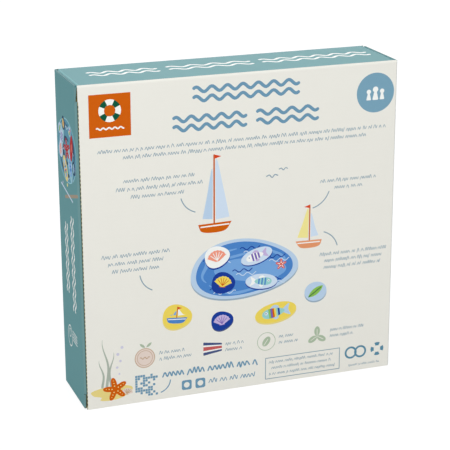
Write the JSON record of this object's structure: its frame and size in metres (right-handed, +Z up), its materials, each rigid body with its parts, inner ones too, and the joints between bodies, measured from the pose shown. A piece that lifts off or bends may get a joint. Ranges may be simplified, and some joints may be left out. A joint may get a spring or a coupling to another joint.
{
  "type": "cardboard game box",
  "caption": "Square, shallow printed box of fine fluted cardboard that stands on its side, with a hinged tuck-in closure at each end.",
  "frame": {"origin": "middle of the carton's footprint, on the surface that it stands on", "axes": "+Z up; the back panel that the picture shows faces -Y and the front panel +Y; the end closures face -X and +X"},
  "size_m": [0.252, 0.0616, 0.25],
  "materials": {
    "sleeve_board": "coated printed board, cream back panel and blue-green sides",
    "closure_board": "coated printed board, blue-green"
  },
  "bodies": {
    "sleeve": {"carton_body": "sleeve_board"},
    "left_end": {"left_closure": "closure_board"},
    "right_end": {"right_closure": "closure_board"}
  },
  "joints": [
    {"name": "left_closure_hinge", "type": "hinge", "parent": "sleeve", "child": "left_end", "pos_m": [-0.12547, 0.03022, 0.125], "axis": [0, 0, -1], "range_deg": [0, 120]},
    {"name": "right_closure_hinge", "type": "hinge", "parent": "sleeve", "child": "right_end", "pos_m": [0.12547, -0.03022, 0.125], "axis": [0, 0, -1], "range_deg": [0, 120]}
  ]
}
